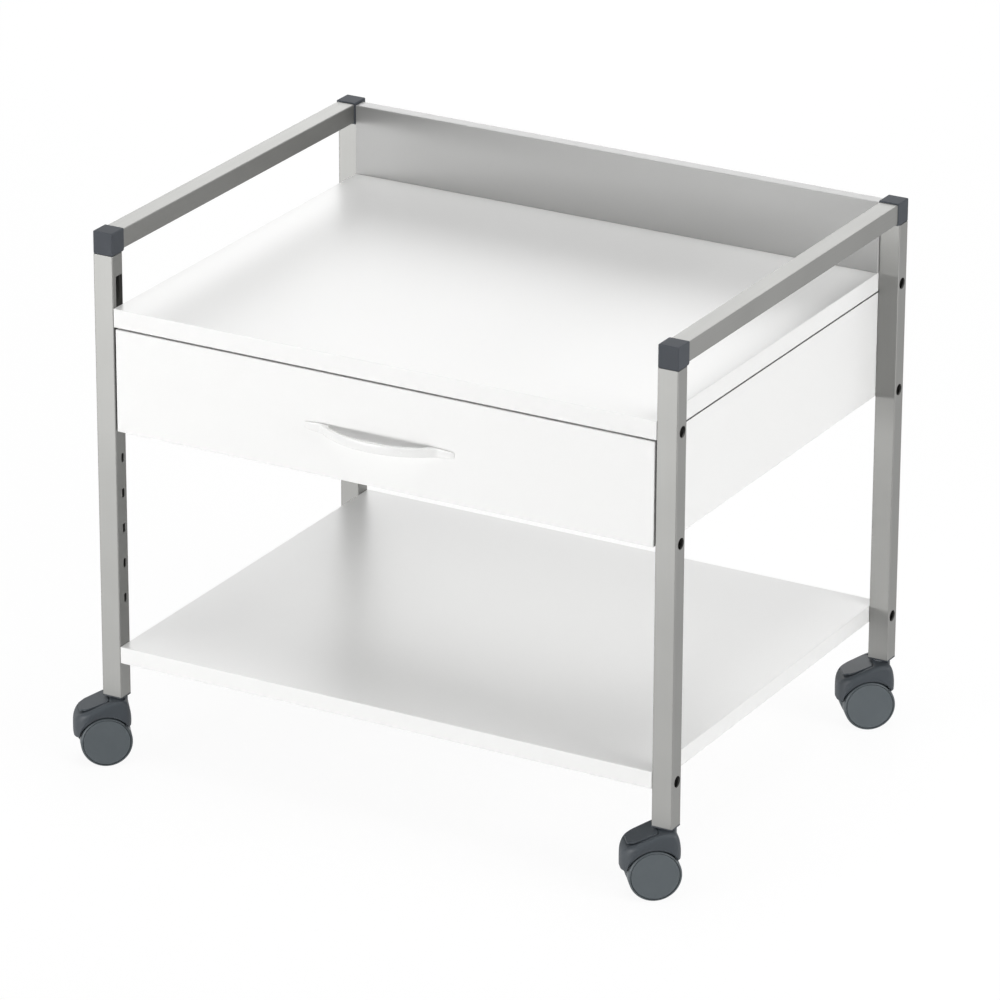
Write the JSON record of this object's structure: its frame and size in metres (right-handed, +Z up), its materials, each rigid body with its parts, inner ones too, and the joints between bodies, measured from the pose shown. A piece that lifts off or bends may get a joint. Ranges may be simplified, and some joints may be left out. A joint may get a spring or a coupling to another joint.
{
  "type": "catering trolley",
  "caption": "Rolling trolley with square aluminium posts, two white boards, grab rails, a low back panel, a wide drawer and hooded twin-wheel castors.",
  "frame": {"origin": "on the floor, under the middle of the frame of posts", "axes": "+Z up, +X to the user's right facing the drawer, -Y towards the user at the drawer front"},
  "size_m": [0.8516, 0.6488, 0.7],
  "materials": {
    "anodised_aluminium": "satin anodised extrusion",
    "white_board": "white melamine-faced chipboard, edge-banded",
    "grey_board": "light grey melamine-faced board",
    "white_hardboard": "white-faced thin board",
    "white_enamel": "white powder coat",
    "dark_plastic": "dark grey moulded, fine texture",
    "hood_plastic": "slate grey moulded nylon",
    "wheel_plastic": "slate grey moulded wheel",
    "zinc_steel": "bright zinc plated"
  },
  "bodies": {
    "frame": {"post_front_left": "anodised_aluminium", "post_front_right": "anodised_aluminium", "post_rear_left": "anodised_aluminium", "post_rear_right": "anodised_aluminium", "corner_connector_front_left": "dark_plastic", "corner_connector_front_right": "dark_plastic", "corner_connector_rear_left": "dark_plastic", "corner_connector_rear_right": "dark_plastic", "castor_socket_front_left": "dark_plastic", "castor_socket_front_right": "dark_plastic", "castor_socket_rear_left": "dark_plastic", "castor_socket_rear_right": "dark_plastic", "top_rail_left": "anodised_aluminium", "top_rail_right": "anodised_aluminium", "top_shelf": "white_board", "lower_shelf": "white_board", "back_panel": "grey_board", "cabinet_side_left": "white_board", "cabinet_side_right": "white_board", "cabinet_bottom": "white_board", "cabinet_back": "white_board", "frame_bolts": "zinc_steel", "runner_fixed_left": "zinc_steel", "runner_fixed_right": "zinc_steel", "runner_screws": "zinc_steel"},
    "drawer": {"drawer_front": "white_board", "drawer_side_left": "white_board", "drawer_side_right": "white_board", "drawer_back": "white_board", "drawer_bottom": "white_hardboard", "drawer_handle": "white_enamel", "handle_screws": "zinc_steel", "runner_drawer_left": "zinc_steel", "runner_drawer_right": "zinc_steel"},
    "runner_middle_left": {"runner_middle_left": "zinc_steel"},
    "runner_middle_right": {"runner_middle_right": "zinc_steel"},
    "castor_front_left": {"castor_front_left_housing": "hood_plastic", "castor_front_left_stem": "zinc_steel", "castor_front_left_axle": "zinc_steel"},
    "castor_front_left_wheel_left": {"castor_front_left_wheel_left": "wheel_plastic"},
    "castor_front_left_wheel_right": {"castor_front_left_wheel_right": "wheel_plastic"},
    "castor_front_left_brake_pedal": {"castor_front_left_brake_pedal": "hood_plastic"},
    "castor_front_right": {"castor_front_right_housing": "hood_plastic", "castor_front_right_stem": "zinc_steel", "castor_front_right_axle": "zinc_steel"},
    "castor_front_right_wheel_left": {"castor_front_right_wheel_left": "wheel_plastic"},
    "castor_front_right_wheel_right": {"castor_front_right_wheel_right": "wheel_plastic"},
    "castor_front_right_brake_pedal": {"castor_front_right_brake_pedal": "hood_plastic"},
    "castor_rear_left": {"castor_rear_left_housing": "hood_plastic", "castor_rear_left_stem": "zinc_steel", "castor_rear_left_axle": "zinc_steel"},
    "castor_rear_left_wheel_left": {"castor_rear_left_wheel_left": "wheel_plastic"},
    "castor_rear_left_wheel_right": {"castor_rear_left_wheel_right": "wheel_plastic"},
    "castor_rear_left_brake_pedal": {"castor_rear_left_brake_pedal": "hood_plastic"},
    "castor_rear_right": {"castor_rear_right_housing": "hood_plastic", "castor_rear_right_stem": "zinc_steel", "castor_rear_right_axle": "zinc_steel"},
    "castor_rear_right_wheel_left": {"castor_rear_right_wheel_left": "wheel_plastic"},
    "castor_rear_right_wheel_right": {"castor_rear_right_wheel_right": "wheel_plastic"},
    "castor_rear_right_brake_pedal": {"castor_rear_right_brake_pedal": "hood_plastic"}
  },
  "joints": [
    {"name": "drawer_slide", "type": "slide", "parent": "frame", "child": "drawer", "axis": [0, -1, 0], "range_m": [0, 0.4]},
    {"name": "runner_left_slide", "type": "slide", "parent": "frame", "child": "runner_middle_left", "axis": [0, -1, 0], "range_m": [0, 0.2]},
    {"name": "runner_right_slide", "type": "slide", "parent": "frame", "child": "runner_middle_right", "axis": [0, -1, 0], "range_m": [0, 0.2]},
    {"name": "castor_front_left_swivel", "type": "hinge", "parent": "frame", "child": "castor_front_left", "pos_m": [-0.38625, -0.28625, 0.088], "axis": [0, 0, 1], "continuous": true},
    {"name": "castor_front_left_wheel_left_spin", "type": "hinge", "parent": "castor_front_left", "child": "castor_front_left_wheel_left", "pos_m": [-0.39965, -0.29672, 0.0325], "axis": [-0.6157, 0.788, 0], "continuous": true},
    {"name": "castor_front_left_wheel_right_spin", "type": "hinge", "parent": "castor_front_left", "child": "castor_front_left_wheel_right", "pos_m": [-0.39965, -0.29672, 0.0325], "axis": [-0.6157, 0.788, 0], "continuous": true},
    {"name": "castor_front_left_brake_pedal_press", "type": "hinge", "parent": "castor_front_left", "child": "castor_front_left_brake_pedal", "pos_m": [-0.40516, -0.30103, 0.07], "axis": [0.6157, -0.788, 0], "range_deg": [0, 5.2]},
    {"name": "castor_front_right_swivel", "type": "hinge", "parent": "frame", "child": "castor_front_right", "pos_m": [0.38625, -0.28625, 0.088], "axis": [0, 0, 1], "continuous": true},
    {"name": "castor_front_right_wheel_left_spin", "type": "hinge", "parent": "castor_front_right", "child": "castor_front_right_wheel_left", "pos_m": [0.37285, -0.29672, 0.0325], "axis": [-0.6157, 0.788, 0], "continuous": true},
    {"name": "castor_front_right_wheel_right_spin", "type": "hinge", "parent": "castor_front_right", "child": "castor_front_right_wheel_right", "pos_m": [0.37285, -0.29672, 0.0325], "axis": [-0.6157, 0.788, 0], "continuous": true},
    {"name": "castor_front_right_brake_pedal_press", "type": "hinge", "parent": "castor_front_right", "child": "castor_front_right_brake_pedal", "pos_m": [0.36734, -0.30103, 0.07], "axis": [0.6157, -0.788, 0], "range_deg": [0, 5.2]},
    {"name": "castor_rear_left_swivel", "type": "hinge", "parent": "frame", "child": "castor_rear_left", "pos_m": [-0.38625, 0.28625, 0.088], "axis": [0, 0, 1], "continuous": true},
    {"name": "castor_rear_left_wheel_left_spin", "type": "hinge", "parent": "castor_rear_left", "child": "castor_rear_left_wheel_left", "pos_m": [-0.39965, 0.27578, 0.0325], "axis": [-0.6157, 0.788, 0], "continuous": true},
    {"name": "castor_rear_left_wheel_right_spin", "type": "hinge", "parent": "castor_rear_left", "child": "castor_rear_left_wheel_right", "pos_m": [-0.39965, 0.27578, 0.0325], "axis": [-0.6157, 0.788, 0], "continuous": true},
    {"name": "castor_rear_left_brake_pedal_press", "type": "hinge", "parent": "castor_rear_left", "child": "castor_rear_left_brake_pedal", "pos_m": [-0.40516, 0.27147, 0.07], "axis": [0.6157, -0.788, 0], "range_deg": [0, 5.2]},
    {"name": "castor_rear_right_swivel", "type": "hinge", "parent": "frame", "child": "castor_rear_right", "pos_m": [0.38625, 0.28625, 0.088], "axis": [0, 0, 1], "continuous": true},
    {"name": "castor_rear_right_wheel_left_spin", "type": "hinge", "parent": "castor_rear_right", "child": "castor_rear_right_wheel_left", "pos_m": [0.37285, 0.27578, 0.0325], "axis": [-0.6157, 0.788, 0], "continuous": true},
    {"name": "castor_rear_right_wheel_right_spin", "type": "hinge", "parent": "castor_rear_right", "child": "castor_rear_right_wheel_right", "pos_m": [0.37285, 0.27578, 0.0325], "axis": [-0.6157, 0.788, 0], "continuous": true},
    {"name": "castor_rear_right_brake_pedal_press", "type": "hinge", "parent": "castor_rear_right", "child": "castor_rear_right_brake_pedal", "pos_m": [0.36734, 0.27147, 0.07], "axis": [0.6157, -0.788, 0], "range_deg": [0, 5.2]}
  ],
  "couplings": [
    {"joint": "runner_left_slide", "follows": "drawer_slide", "ratio": 0.5},
    {"joint": "runner_right_slide", "follows": "drawer_slide", "ratio": 0.5}
  ]
}
